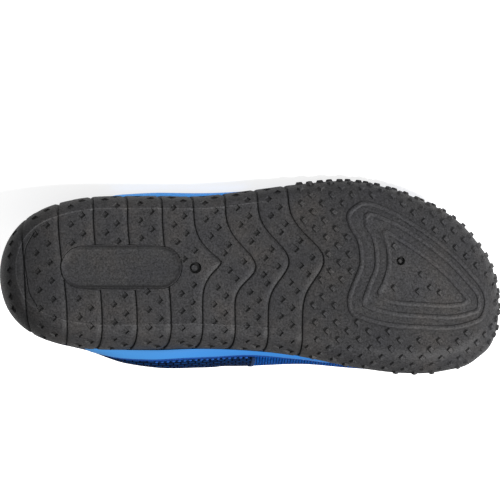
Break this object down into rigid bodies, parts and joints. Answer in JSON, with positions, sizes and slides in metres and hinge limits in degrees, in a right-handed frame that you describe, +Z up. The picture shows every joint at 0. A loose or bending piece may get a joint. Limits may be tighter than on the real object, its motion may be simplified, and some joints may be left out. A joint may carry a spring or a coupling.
{
  "type": "water shoe",
  "caption": "Right-foot water shoe lying on its outer side: grooved rubber sole with a heel oval and ribbed forefoot, soft mesh upper with side bands, foam insole.",
  "frame": {"origin": "centre of the bounding box at the floor that the shoe lies on", "axes": "+Z up from the floor through the outer side towards the inner side of the foot; -X from heel to toe; -Y out of the tread, which faces that way and leans back 21 degrees"},
  "size_m": [0.2834, 0.0912, 0.1039],
  "materials": {
    "outsole": "matt charcoal moulded rubber",
    "upper": "navy and royal blue mesh",
    "side_band_inner": "smooth light blue soft plastic",
    "side_band_outer": "smooth light blue soft plastic",
    "insole": "dark cloth over foam"
  },
  "bodies": {
    "root": {"outsole": "outsole", "upper": "upper", "side_band_inner": "side_band_inner", "side_band_outer": "side_band_outer", "insole": "insole"}
  },
  "joints": []
}
